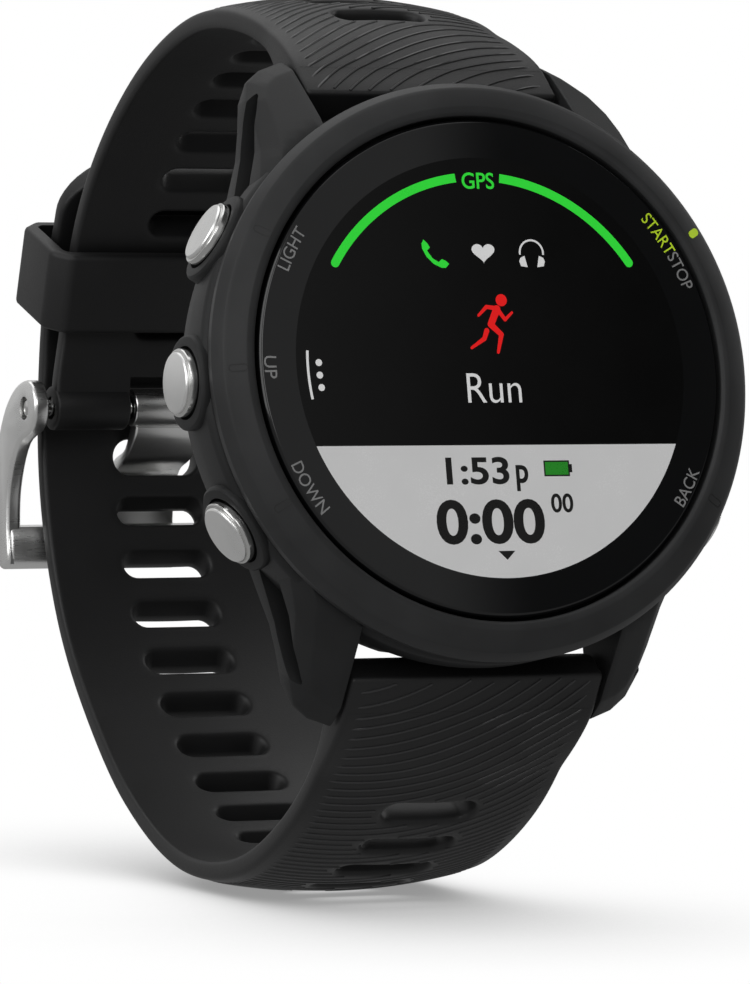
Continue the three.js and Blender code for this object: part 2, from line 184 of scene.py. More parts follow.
def smoothPath(points, perSpan=40, closed=False):
    # one smooth curve through the points, with its pace set by the root of their distances
    knots = [Vector(point) for point in points]
    if closed:
        knots = [knots[-1], *knots, knots[0], knots[1]]
    else:
        knots = [2 * knots[0] - knots[1], *knots, 2 * knots[-1] - knots[-2]]
    samples = []
    for a, b, c, d in zip(knots, knots[1:], knots[2:], knots[3:]):
        before, span, after = [(q - p).length ** 0.5 for p, q in ((a, b), (b, c), (c, d))]
        leave = ((b - a) / before - (c - a) / (before + span) + (c - b) / span) * span
        arrive = ((c - b) / span - (d - b) / (span + after) + (d - c) / after) * span
        for step in range(perSpan):
            t = step / perSpan
            bend = (-3 * b + 3 * c - 2 * leave - arrive) * t ** 2
            samples.append(b + leave * t + bend + (2 * b - 2 * c + leave + arrive) * t ** 3)
    if not closed:
        samples.append(knots[-2])
    return samples


def smoothOutline(points, perSpan):
    return [tuple(point) for point in smoothPath(points, perSpan, closed=True)]


def finishedPiece(name, bm, body, finish, replaces=(), sharper=32, rightWayOut=True):
    bmesh.ops.remove_doubles(bm, verts=bm.verts, dist=1e-5)
    if rightWayOut:
        bmesh.ops.recalc_face_normals(bm, faces=bm.faces)
    bm.transform(watchPlace)
    limit = math.radians(sharper)
    for face in bm.faces:
        face.smooth = True
    for edge in bm.edges:
        edge.smooth = edge.calc_face_angle(0) < limit
    mesh = bpy.data.meshes.new(name)
    bm.to_mesh(mesh)
    bm.free()
    piece = linked(name, mesh)
    slotName, material = finishes[finish]
    mesh.materials.append(material)
    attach(piece, body)
    if replaces:
        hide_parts(*replaces)


# ---------- materials

finishes = {}


def mapRange(tree, value, limits):
    node = tree.nodes.new("ShaderNodeMapRange")
    for key, number in zip(("From Min", "From Max", "To Min", "To Max"), limits):
        node.inputs[key].default_value = number
    tree.links.new(value, node.inputs["Value"])
    return node


def cameraMix(tree, around, seen, surface):
    # one shader for what the camera sees, another for the light that falls on the watch
    mix = tree.nodes.new("ShaderNodeMixShader")
    path = tree.nodes.new("ShaderNodeLightPath")
    tree.links.new(path.outputs["Is Camera Ray"], mix.inputs["Fac"])
    tree.links.new(around.outputs[0], mix.inputs[1])
    tree.links.new(seen.outputs[0], mix.inputs[2])
    tree.links.new(mix.outputs["Shader"], surface)


def addFinish(name, slotName, look):
    # colour, roughness and relief all vary a little over the surface
    material = bpy.data.materials.new(name)
    material.use_nodes = True
    nodes = material.node_tree.nodes
    links = material.node_tree.links
    shader = nodes["Principled BSDF"]
    shader.inputs["Metallic"].default_value = look.get("metallic", 0)
    shader.inputs["IOR"].default_value = 1.5
    shader.inputs["Specular IOR Level"].default_value = look.get("specular", 0.5)
    shader.inputs["Sheen Weight"].default_value = look.get("sheen", 0)
    shader.inputs["Sheen Roughness"].default_value = 0.4
    place = nodes.new("ShaderNodeTexCoord")
    stretch = nodes.new("ShaderNodeMapping")
    stretch.inputs["Scale"].default_value = look.get("stretch", (1, 1, 1))
    links.new(place.outputs["Object"], stretch.inputs["Vector"])

    def noise(scale, detail):
        texture = nodes.new("ShaderNodeTexNoise")
        texture.inputs["Scale"].default_value = scale
        texture.inputs["Detail"].default_value = detail
        links.new(stretch.outputs["Vector"], texture.inputs["Vector"])
        return texture.outputs["Fac"]

    def ranged(value, *limits):
        return mapRange(material.node_tree, value, limits).outputs["Result"]

    grain = noise(look.get("grainScale", 9000), 3)
    cloud = noise(look.get("cloudScale", 220), 4)
    tint = nodes.new("ShaderNodeMix")
    tint.data_type = "RGBA"
    colour = look["colour"]
    vary = look.get("vary", 0.12)
    tint.inputs["A"].default_value = (*[c * (1 - vary) for c in colour], 1)
    tint.inputs["B"].default_value = (*[min(c * (1 + vary), 1) for c in colour], 1)
    links.new(ranged(cloud, 0.35, 0.65, 0, 1), tint.inputs["Factor"])
    links.new(tint.outputs["Result"], shader.inputs["Base Color"])
    roughness = look["roughness"]
    spread = look.get("spread", 0.06)
    roughNode = nodes.new("ShaderNodeMix")
    roughNode.data_type = "FLOAT"
    roughNode.inputs["Factor"].default_value = 0.5
    links.new(ranged(cloud, 0.3, 0.7, roughness - spread, roughness + spread), roughNode.inputs["A"])
    links.new(ranged(grain, 0.3, 0.7, roughness - spread, roughness + spread), roughNode.inputs["B"])
    links.new(roughNode.outputs["Result"], shader.inputs["Roughness"])
    bump = nodes.new("ShaderNodeBump")
    bump.inputs["Strength"].default_value = 0.5
    bump.inputs["Distance"].default_value = look.get("grainDepth", 0.0000004)
    links.new(grain, bump.inputs["Height"])
    links.new(bump.outputs["Normal"], shader.inputs["Normal"])
    # painted glow: the display's panel and figures emit their own colour, standing in for the light they
    # reflect
    if "paintedGlow" in look:
        shader.inputs["Emission Color"].default_value = (*colour, 1)
        shader.inputs["Emission Strength"].default_value = look["paintedGlow"]
    finishes[name] = (slotName, material)
    return material


looks = {
    "casePolymer": ("case_polymer", {
        "colour": (0.019, 0.0193, 0.0197), "roughness": 0.5, "grainDepth": 0.000016, "specular": 0.2,
    }),
    "bezelPolymer": ("bezel_polymer", {
        "colour": (0.028, 0.0284, 0.029), "roughness": 0.46, "grainDepth": 0.000012, "specular": 0.22,
    }),
    "lensGlass": ("glass", {
        "colour": (0.004, 0.0042, 0.0045), "roughness": 0.07, "spread": 0.015, "grainScale": 400,
        "cloudScale": 90,
    }),
    "displayBlack": ("display", {
        "colour": (0.0018, 0.0018, 0.0018), "roughness": 0.09, "spread": 0.015, "specular": 0.36,
    }),
    # the display's grey panel and coloured figures carry painted glow in place of reflected light
    "displayGrey": ("display", {
        "colour": (0.56, 0.56, 0.56), "roughness": 0.25, "paintedGlow": 0.25, "vary": 0.02,
    }),
    "displayInk": ("display", {"colour": (0.004, 0.004, 0.004), "roughness": 0.3}),
    "displayWhite": ("display", {
        "colour": (0.6, 0.6, 0.6), "roughness": 0.3, "paintedGlow": 0.4, "vary": 0.03,
    }),
    "displayGreen": ("display", {
        "colour": (0.02, 0.56, 0.03), "roughness": 0.3, "paintedGlow": 0.5, "vary": 0.04,
    }),
    "batteryGreen": ("display", {
        "colour": (0.01, 0.17, 0.01), "roughness": 0.3, "paintedGlow": 0.5, "vary": 0.04,
    }),
    "displayRed": ("display", {
        "colour": (0.62, 0.004, 0.004), "roughness": 0.3, "paintedGlow": 0.5, "vary": 0.04,
    }),
    "labelGrey": ("glass", {"colour": (0.24, 0.24, 0.24), "roughness": 0.4}),
    "labelLime": ("glass", {"colour": (0.6, 0.86, 0.02), "roughness": 0.4}),
    "limeMark": ("bezel_polymer", {
        "colour": (0.6, 0.86, 0.02), "roughness": 0.45, "grainDepth": 0.000006,
    }),
    "markLine": ("bezel_polymer", {
        "colour": (0.004, 0.004, 0.004), "roughness": 0.6, "grainDepth": 0.000006,
    }),
    "silicone": ("silicone", {
        "colour": (0.009, 0.009, 0.0093), "roughness": 0.5, "grainScale": 6500, "grainDepth": 0.00002,
        "cloudScale": 160, "sheen": 0.03, "specular": 0.42,
    }),
    # the ribs are the strap's own silicone drawn about three times lighter, a painted highlight for the
    # top light on their crests
    "siliconeRibPaintedHighlight": ("silicone", {
        "colour": (0.03, 0.03, 0.031), "roughness": 0.36, "grainScale": 6500, "grainDepth": 0.000006,
        "cloudScale": 160,
    }),
    "satinSteel": ("steel", {
        "colour": (0.88, 0.88, 0.87), "metallic": 1, "roughness": 0.3, "spread": 0.05,
        "grainDepth": 0.000006, "vary": 0.05, "stretch": (0.06, 1, 1),
    }),
    "polishedSteel": ("steel", {
        "colour": (0.66, 0.66, 0.65), "metallic": 1, "roughness": 0.14, "spread": 0.04,
        "grainScale": 5000, "grainDepth": 0.000002, "vary": 0.04,
    }),
    "sensorGlass": ("sensor_glass", {
        "colour": (0.006, 0.006, 0.007), "roughness": 0.07, "spread": 0.02, "grainScale": 500,
    }),
    "sealRubber": ("seal_rubber", {
        "colour": (0.01, 0.01, 0.01), "roughness": 0.75, "grainScale": 7000, "grainDepth": 0.00002,
    }),
    "switchPlastic": ("switch_plastic", {
        "colour": (0.03, 0.03, 0.03), "roughness": 0.5, "grainScale": 8000, "grainDepth": 0.00002,
    }),
    "cellFoil": ("battery_foil", {
        "colour": (0.5, 0.5, 0.48), "metallic": 0.7, "roughness": 0.38, "spread": 0.12,
        "grainScale": 2500, "grainDepth": 0.00003,
    }),
    "goldPlate": ("gold", {
        "colour": (0.64, 0.4, 0.13), "metallic": 1, "roughness": 0.28, "grainScale": 6000,
        "grainDepth": 0.000006,
    }),
    "solderMask": ("circuit_board", {
        "colour": (0.01, 0.06, 0.03), "roughness": 0.4, "grainScale": 3000, "grainDepth": 0.00004,
        "vary": 0.3,
    }),
}
for look, (slotName, values) in looks.items():
    addFinish(look, slotName, values)
print("materials made")


# ---------- camera, light and floor

cameraValues = {
    "place": (-0.21401, -0.48692, 0.05644),
    "right": (0.9113, -0.41162, 0.01013),
    "up": (0.00928, 0.04514, 0.99894),
    "lens": 237.3,
}


def addCamera():
    camera = linked("camera", bpy.data.cameras.new("camera"))
    right = Vector(cameraValues["right"]).normalized()
    up = Vector(cameraValues["up"])
    back = right.cross(up).normalized()
    up = back.cross(right)
    turn = Matrix((right, up, back)).transposed().to_4x4()
    camera.matrix_world = Matrix.Translation(cameraValues["place"]) @ turn
    camera.data.lens = cameraValues["lens"]
    camera.data.sensor_width = 36
    camera.data.clip_start = 0.01
    bpy.context.scene.camera = camera


lights = {
    # place, aimed at, width, height, power
    "leftSoftbox": ((-0.75, -0.25, 0.42), (0, 0, 0.035), 0.6, 0.8, 2.8),
    "topSoftbox": ((0.05, 0.3, 0.8), (0, 0, 0.03), 0.9, 0.9, 2.2),
    "rightSoftbox": ((0.8, 0.15, 0.4), (0, 0, 0.035), 0.35, 0.8, 1.6),
    "frontFill": ((-0.25, -0.95, 0.5), (0, 0, 0.03), 0.5, 0.5, 1.8),
}


def addLights():
    for name, (place, target, width, height, power) in lights.items():
        data = bpy.data.lights.new(name, "AREA")
        data.shape = "RECTANGLE"
        data.size = width
        data.size_y = height
        data.energy = power
        lamp = linked(name, data)
        aim = Vector(target) - Vector(place)
        lamp.location = place
        lamp.rotation_euler = aim.to_track_quat("-Z", "Y").to_euler()


worldValues = {
    # each pair of edges and the strengths at them
    "sideways": (0.37, 0.45, 0.4, 0.05),
    "behind": (0.35, 0.9, 0, 0.16),
}


def addWorld():
    # white behind the watch; the light that falls on it fades from the left to the right
    world = bpy.data.worlds.new("studio")
    world.use_nodes = True
    bpy.context.scene.world = world
    nodes = world.node_tree.nodes
    links = world.node_tree.links
    seen = nodes["Background"]
    seen.inputs["Color"].default_value = (1, 1, 1, 1)
    seen.inputs["Strength"].default_value = 1
    around = nodes.new("ShaderNodeBackground")
    around.inputs["Color"].default_value = (1, 1, 1, 1)
    place = nodes.new("ShaderNodeTexCoord")
    axes = nodes.new("ShaderNodeSeparateXYZ")
    links.new(place.outputs["Generated"], axes.inputs["Vector"])
    fade = mapRange(world.node_tree, axes.outputs["X"], worldValues["sideways"])
    fade.interpolation_type = "SMOOTHSTEP"
    behind = mapRange(world.node_tree, axes.outputs["Y"], worldValues["behind"])
    total = nodes.new("ShaderNodeMath")
    links.new(fade.outputs["Result"], total.inputs[0])
    links.new(behind.outputs["Result"], total.inputs[1])
    links.new(total.outputs["Value"], around.inputs["Strength"])
    cameraMix(world.node_tree, around, seen, nodes["World Output"].inputs["Surface"])


# reach and fade shape the painted shadow that the floor's glow shows under the watch
floorValues = {"radius": 6, "around": 0.3, "reach": 0.04, "fade": (0.1, 0.92, 0.3, 1)}


def addFloor():
    bm = bmesh.new()
    bmesh.ops.create_circle(bm, cap_ends=True, segments=96, radius=floorValues["radius"])
    mesh = bpy.data.meshes.new("floor")
    bm.to_mesh(mesh)
    bm.free()
    floor = linked("floor", mesh)
    # painted contact shadow: the floor's glow is white where it is open to the sky and darker close
    # under the watch
    material = bpy.data.materials.new("paleFloorPaintedShadow")
    material.use_nodes = True
    nodes = material.node_tree.nodes
    links = material.node_tree.links
    nodes.remove(nodes["Principled BSDF"])
    seen = nodes.new("ShaderNodeEmission")
    around = nodes.new("ShaderNodeEmission")
    around.inputs["Strength"].default_value = floorValues["around"]
    shelter = nodes.new("ShaderNodeAmbientOcclusion")
    shelter.samples = 24
    shelter.inputs["Distance"].default_value = floorValues["reach"]
    fade = mapRange(material.node_tree, shelter.outputs["AO"], floorValues["fade"])
    links.new(fade.outputs["Result"], seen.inputs["Strength"])
    cameraMix(material.node_tree, around, seen, nodes["Material Output"].inputs["Surface"])
    floor.data.materials.append(material)


addCamera()
addLights()
addWorld()
addFloor()
bpy.context.scene.view_settings.view_transform = "Standard"
print("camera, lights and floor set")


# ---------- front of the case

bezelValues = {
    "profile": [
        (19.85, 3.2), (19.85, 0.12), (20.1, -0.08), (20.6, -0.1), (21.95, 0.42), (22.25, 0.62),
        (22.8, 1.7), (22.62, 2.75), (22.2, 3.2),
    ],
    "markRadius": 21.25,
    "startMarkRadius": 21.4,
    "markLength": 1.5,
    "markWidth": 0.62,
    "markSlope": math.atan2(0.52, 1.35),
}


def pill(length, width, depth, steps=8):
    # a long round-ended plate in X and Z, its faces at -depth and +depth in Y
    straight = (length - width) / 2
    outline = []
    for side, start in ((straight, -90), (-straight, 90)):
        for step in range(steps + 1):
            x, z = polar(width / 2, start + 180 * step / steps)
            outline.append((side + x, z))
    return prism(outline, "Y", -depth, depth)


def bezelMarkPlace(angle, radius):
    values = bezelValues
    slope = Matrix.Rotation(values["markSlope"], 4, "Z")
    depth = -0.1 + (radius - 20.6) * math.tan(values["markSlope"])
    lifted = Matrix.Translation((radius, depth, 0)) @ slope
    return dialTurn(angle) @ lifted


def addBezel():
    ring = softened(turned(bezelValues["profile"], 192), 0.07, 2, 14)
    finishedPiece("bezel_ring", ring, "case", "bezelPolymer", ["bezel"])
    length, width = bezelValues["markLength"], bezelValues["markWidth"]
    lines = bmesh.new()
    for name, angle in buttonAngles.items():
        if name == "start":
            mark = pill(length - 0.35, width, 0.03)
            mark.transform(bezelMarkPlace(angle, bezelValues["startMarkRadius"]))
            finishedPiece("start_mark", mark, "case", "limeMark")
            continue
        mark = pill(length, width, 0.012)
        mark = carved(mark, pill(length - 0.16, width - 0.16, 0.05))
        mark.transform(bezelMarkPlace(angle, bezelValues["markRadius"]))
        joined(lines, mark)
    finishedPiece("bezel_marks", lines, "case", "markLine")


def addLens():
    radius = watch["lensRadius"]
    profile = [(0, 0), (radius - 0.25, 0), (radius, 0.25), (radius, 1.6), (0, 1.6)]
    glass = softened(turned(profile, 192, onAxis=True), 0.08, 3, 20)
    finishedPiece("lens", glass, "case", "lensGlass", ["glass_lens"])


addBezel()
addLens()
print("bezel and lens made")


# ---------- middle of the case

lugValues = {
    "outline": [
        (11.15, 12.5), (11.15, 26.3), (13.1, 25.6), (14.3, 24.6), (15.05, 22.8), (15.3, 20.4),
        (15.65, 18.2), (16.3, 16.2), (17.1, 13.6), (17.3, 11.8), (15, 10.8),
    ],
    # the upper lug on the right is wider
    "wideOutline": [
        (11.15, 12.5), (11.15, 26.3), (13.1, 25.4), (15.1, 24), (16.3, 22.3), (16.9, 20.4),
        (17.1, 18.2), (17, 16.2), (17.1, 13.6), (17.3, 11.8), (15, 10.8),
    ],
    "depth": 6,
    # where the front's cone starts, how steeply it falls away, and the back's depth
    "coneRadius": 22.7,
    "coneDepth": 3.2,
    "coneSlope": 1.06,
    "backDepth": 10.9,
    "pocket": [
        (8.6, 23.3), (7.5, 21.2), (6.95, 18.8), (6.5, 16.4), (6.2, 13.4), (8.6, 13.4), (9.4, 16.5),
        (9.75, 18.7), (9.65, 20.8), (9.15, 22.4),
    ],
    "pocketReach": (11.6, 21),
    # the front's outer edges are those past this sum of X and Z, or past this X
    "tipSum": 33,
    "flankX": 14.5,
    "chamfer": 1.0,
    "round": 0.14,
    "cell": 0.8,
    "cuts": ((0, 11, 18), (2, 10, 27)),
}
wallProfile = [
    (17.6, 2.8), (19.5, 2.8), (19.5, 3.5), (22.3, 3.5), (22.62, 3.9), (22.7, 4.2), (22.6, 6.6),
    (22.1, 8.6), (21.7, 10.2), (21.3, 11.2), (20.9, 11.8), (20.1, 11.8), (20.1, 10.3),
    (18.8, 10.3), (18.8, 5.2), (17.6, 5.2),
]
bossOutline = [
    (3.6, -1.9), (3.6, 1.9), (5, 3.4), (7.9, 3.5), (9.6, 2), (9.6, -2), (7.9, -3.5), (5, -3.4),
]
capValues = {
    "radius": 2.65,
    "face": 23.9,
    "inner": 22.0,
    "stem": 0.7,
    "stemStart": 18.05,
    "bossReach": (19.5, 23),
    "boreRadius": 2.85,
    "boreReach": (21.2, 25),
}
# the opening in the wall between two lugs, for the strap's end
strapSpace = {"front": 6.3, "back": 14, "near": 20.6, "far": 27}


def lug(right, up):
    # a chamfered block, cut into small cells and bent so that its front follows a cone
    values = lugValues
    depth = values["depth"]
    outline = values["wideOutline" if right > 0 and up > 0 else "outline"]
    shape = prism([(right * x, up * z) for x, z in outline], "Y", 0, depth)
    front = [edge for edge in shape.edges if all(v.co.y < 0.1 for v in edge.verts)]
    outer = [
        edge for edge in front
        if all(abs(v.co.x) + abs(v.co.z) > values["tipSum"] for v in edge.verts)
        or all(abs(v.co.x) > values["flankX"] for v in edge.verts)
    ]
    inside = watch["lugInside"] + 0.05
    outer = [edge for edge in outer if any(abs(v.co.x) > inside for v in edge.verts)]
    bmesh.ops.bevel(
        shape, geom=outer, offset=values["chamfer"], offset_type="OFFSET", segments=1,
        profile=0.5, affect="EDGES", clamp_overlap=False, material=-1,
    )
    softened(shape, values["round"], 2, 24)
    for axis, first, last in values["cuts"]:
        place = first
        while place < last:
            cut = Vector((0, 0, 0))
            cut[axis] = place * (right if axis == 0 else up)
            square = Vector((0, 0, 0))
            square[axis] = 1
            bmesh.ops.bisect_plane(
                shape, geom=list(shape.verts) + list(shape.edges) + list(shape.faces),
                plane_co=cut, plane_no=square, dist=1e-4,
            )
            place += values["cell"]
    for vert in shape.verts:
        radius = math.hypot(vert.co.x, vert.co.z)
        if vert.co.y < depth / 2:
            past = max(radius - values["coneRadius"], 0)
            vert.co.y += values["coneDepth"] + past * values["coneSlope"]
        else:
            vert.co.y += values["backDepth"] - depth
    low, high = sorted(right * x for x in values["pocketReach"])
    outline = [(y, up * z) for y, z in smoothOutline(values["pocket"], 4)]
    pocket = prism(outline, "X", low, high)
    return carved(shape, pocket)


def capBore():
    return rod(
        capValues["boreRadius"], *capValues["boreReach"], y=watch["buttonDepth"], sides=64,
    )


def boss(angle):
    shape = prism(smoothOutline(bossOutline, 6), "X", *capValues["bossReach"])
    softened(shape, 0.35, 3, 40)
    shape = carved(shape, capBore())
    shape.transform(dialTurn(angle))
    return shape


def addMidCase():
    wall = softened(turned(wallProfile, 160), 0.1, 2, 16)
    side = watch["lugInside"]
    for up in (1, -1):
        low, high = sorted((up * strapSpace["near"], up * strapSpace["far"]))
        space = block((-side, strapSpace["front"], low), (side, strapSpace["back"], high))
        wall = carved(wall, space)
    for angle in buttonAngles.values():
        bore = capBore()
        bore.transform(dialTurn(angle))
        wall = carved(wall, bore)
    lugs = [lug(right, up) for right in (1, -1) for up in (1, -1)]
    bosses = [boss(angle) for angle in buttonAngles.values()]
    shape = joined(wall, *lugs, *bosses)
    finishedPiece("case_middle", shape, "case", "casePolymer", ["mid_case"], 30, False)


addMidCase()
print("middle of the case made")


# ---------- buttons

def addButtons():
    radius, face, inner = capValues["radius"], capValues["face"], capValues["inner"]
    rimProfile = [
        (0, inner), (radius - 0.1, inner), (radius, inner + 0.1),
        (radius, face - 0.4), (radius - 0.06, face - 0.3), (radius - 0.22, face - 0.26),
        (radius - 0.24, face - 0.3), (0, face - 0.3),
    ]
    faceProfile = [
        (0, face - 0.32), (radius - 0.27, face - 0.32), (radius - 0.27, face - 0.12),
        (radius - 0.39, face), (0, face),
    ]
    stem, start = capValues["stem"], capValues["stemStart"]
    stemProfile = [(0, start), (stem, start), (stem, inner + 0.1), (0, inner + 0.1)]
    stand = Matrix.Rotation(-math.pi / 2, 4, "Z")
    for name, angle in buttonAngles.items():
        rim = turned(rimProfile, 96, onAxis=True)
        softened(rim, 0.03, 2, 25)
        joined(rim, turned(stemProfile, 32, onAxis=True))
        plate = softened(turned(faceProfile, 96, onAxis=True), 0.03, 2, 25)
        for shape in (rim, plate):
            shape.transform(Matrix.Translation((0, watch["buttonDepth"], 0)) @ dialTurn(angle) @ stand)
        body = f"button_{name}"
        finishedPiece(f"{name}_cap_rim", rim, body, "polishedSteel", [body])
        finishedPiece(f"{name}_cap_face", plate, body, "satinSteel")


addButtons()
print("buttons made")


# ---------- back of the case

backValues = {
    "cover": [
        (6.3, 10.95), (19.8, 10.95), (19.8, 11.7), (19.3, 12.2), (7.3, 12.2), (7.3, 11.2), (6.3, 11.2),
    ],
    "window": [(0, 11.45), (7, 11.45), (7, 12.2), (6.2, 12.6), (4, 12.9), (0, 12.9)],
    "eyeRing": 2.3,
    "eyeReach": (12.6, 12.915),
    "screwRadius": 17.9,
    # radius, front and back
    "recess": (1.45, 11.5, 13),
    "head": (1.15, 11.75, 12.1),
    "shank": (0.5, 9.5, 11.8),
    "contact": (0.5, 10, 12),
    "barHalf": (0.62, 0.13),
    "screwAngles": (45, 135, 225, 315),
    "contactX": (-2.7, -0.9, 0.9, 2.7),
    "contactZ": -12.6,
}


def post(radius, low, high, x=0, z=0, sides=48):
    # a round post along Y
    bm = bmesh.new()
    made = bmesh.ops.create_cone(
        bm, cap_ends=True, segments=sides, radius1=radius, radius2=radius, depth=high - low,
    )
    place = Matrix.Translation((x, (high + low) / 2, z)) @ Matrix.Rotation(math.pi / 2, 4, "X")
    bmesh.ops.transform(bm, matrix=place, verts=made["verts"])
    return bm


def addBack():
    values = backValues
    cover = softened(turned(values["cover"], 160), 0.14, 3, 16)
    places = [polar(values["screwRadius"], angle) for angle in values["screwAngles"]]
    for x, z in places:
        cover = carved(cover, post(*values["recess"], x, z))
    contactZ = values["contactZ"]
    socket = block((-4, 11.7, contactZ - 1.6), (4, 13, contactZ + 1.6))
    cover = carved(cover, softened(socket, 0.5, 4, 30))
    finishedPiece("back_plate", cover, "case", "casePolymer", ["back_cover"], 30, False)
    window = softened(turned(values["window"], 128, onAxis=True), 0.3, 4, 10)
    finishedPiece("sensor_lens", window, "case", "sensorGlass", ["sensor_window"])
    eyes = bmesh.new()
    for angle in (0, 90, 180, 270):
        x, z = polar(values["eyeRing"], angle)
        joined(eyes, post(0.75, *values["eyeReach"], x, z, 32))
    joined(eyes, post(0.95, *values["eyeReach"], 0, 0, 32))
    finishedPiece("sensor_eyes", eyes, "case", "displayInk")
    long, thin = values["barHalf"]
    for number, (x, z) in enumerate(places, 1):
        head = softened(post(*values["head"], x, z), 0.1, 3, 30)
        for turn in (0, 60, 120):
            bar = block((-long, 11.9, -thin), (long, 12.4, thin))
            bar.transform(Matrix.Translation((x, 0, z)) @ dialTurn(-turn))
            head = carved(head, bar)
        joined(head, post(*values["shank"], x, z, 24))
        screw = f"case_screw_{number}"
        finishedPiece(f"back_screw_{number}", head, "case", "satinSteel", [screw], 32, False)
    for number, x in enumerate(values["contactX"], 1):
        pin = softened(post(*values["contact"], x, contactZ, 32), 0.18, 4, 30)
        contact = f"charging_contact_{number}"
        finishedPiece(f"contact_pin_{number}", pin, "case", "goldPlate", [contact])


addBack()
print("back made")


# ---------- straps

strap = {
    "half": 10.85,
    "crown": 2.7,
    "edge": 1.5,
    "slotLength": 8.1,
    "slotWidth": 2.3,
    # the slot that the buckle's tongue passes through is wide and straight
    "tongueSlot": 83.3,
    "tongueSlotWidth": 3.1,
    "cell": 0.4,
    "rimWidth": 0.45,
    "rimSteps": (0.24, 0.09, 0),
    "edgeSteps": (0, 0.06, 0.16, 0.3, 0.5),
    "edgeRound": 0.42,
    "innerRound": 0.36,
    "rimRound": 0.45,
    "lead": 3.2,
    "startHeight": 3.4,
    "startFade": 7.5,
    "waist": 0.3,
    "lean": 0.7,
    "leanReach": 1.6,
    "narrowingEase": 8,
    "tipLength": 5.5,
    "tipShare": 0.975,
    "tipTaper": 0.8,
    "ribPitch": 0.82,
    "ribWidth": 0.12,
    "ribRise": 0.1,
}


def lowerSlot(distance):
    # closer to the case at first, and where the buckle's tongue needs them further round
    return distance - 0.9 * min(max((69 - distance) / 24, 0), 1)


straps = {
    "upper": {
        "path": [
            (9.29, 20.91), (11.3, 23.4), (15, 28), (21.6, 31.4), (30, 33.1), (40, 32),
            (49.5, 28.3), (56.6, 23.1), (61.1, 16.7), (63.2, 11), (63.8, 8.4),
        ],
        "side": 1,
        "slots": [9.0, 13.95, *(18.9 + 4.65 * i for i in range(10))],
        "narrowing": 0.055,
    },
    "lower": {
        "path": [
            (9.19, -21), (11.3, -23.4), (15, -27.6), (21.7, -31.5), (32.4, -34),
            (44.3, -32.2), (54.5, -25.9), (61.6, -17.8), (65.9, -10.5), (68, -3),
            (68.3, 4), (66.9, 11.3), (64.3, 18.1), (59.2, 25.4), (56.3, 28),
        ],
        "side": -1,
        "slots": [lowerSlot(12.05 + 4.75 * i) for i in range(20)],
        "narrowing": 0.02,
    },
}


def eased(share):
    share = min(max(share, 0), 1)
    return share * share * (3 - 2 * share)


class StrapLine:
    # the strap's inner face from the side, by distance along it from beside the spring bar
    def __init__(self, values):
        self.points = smoothPath(values["path"])
        self.side = values["side"]
        self.marks = [-strap["lead"]]
        for p, q in zip(self.points, self.points[1:]):
            self.marks.append(self.marks[-1] + (q - p).length)
        self.length = self.marks[-1]
        self.narrowing = values["narrowing"]

    def at(self, distance):
        low = min(max(bisect_right(self.marks, distance) - 1, 0), len(self.marks) - 2)
        p, q = self.points[low], self.points[low + 1]
        share = (distance - self.marks[low]) / (self.marks[low + 1] - self.marks[low])
        before = self.points[max(low - 1, 0)]
        after = self.points[min(low + 2, len(self.points) - 1)]
        heading = ((q - before).normalized().lerp((after - p).normalized(), share)).normalized()
        return p.lerp(q, share), heading

    def place(self, across, distance, height):
        # a little narrower between its two ends than at them
        ease = strap["narrowingEase"]
        across *= 1 - self.narrowing * eased(distance / ease) * eased((self.length - distance) / ease)
        point, heading = self.at(distance)
        outward = Vector((-heading.y, heading.x)) * self.side
        lifted = point + outward * height
        return Vector((across, lifted.x, lifted.y))


def tongued(slot):
    return abs(slot - strap["tongueSlot"]) < 0.5


def slotWidth(slot):
    return strap["tongueSlotWidth"] if tongued(slot) else strap["slotWidth"]


def slotGap(across, distance, slots):
    # how far a point is outside the nearest slot, and which way is straight out of it
    nearest = min(slots, key=lambda middle: abs(middle - distance))
    straight = (strap["slotLength"] - slotWidth(nearest)) / 2
    foot = Vector((max(-straight, min(straight, across)), nearest))
    out = Vector((across, distance)) - foot
    return out.length - slotWidth(nearest) / 2, out.normalized(), foot


def ribClear(across, distance, slots):
    gap, out, foot = slotGap(across, distance, slots)
    if not tongued(foot.y):
        gap = slotGap(across, distance + strap["lean"], slots)[0]
    return gap > ribs["edgeGap"]


def roundedDrop(inside, radius):
    if inside >= radius:
        return 0
    return radius - math.sqrt(max(radius ** 2 - (radius - inside) ** 2, 0))


def outerHeight(across, distance):
    # thick and level over the spring bar, then thinner and rounded across
    rise = 1 - min(abs(across) / strap["half"], 1) ** 2
    height = strap["edge"] + (strap["crown"] - strap["edge"]) * rise
    return strap["startHeight"] + (height - strap["startHeight"]) * eased(distance / strap["startFade"])


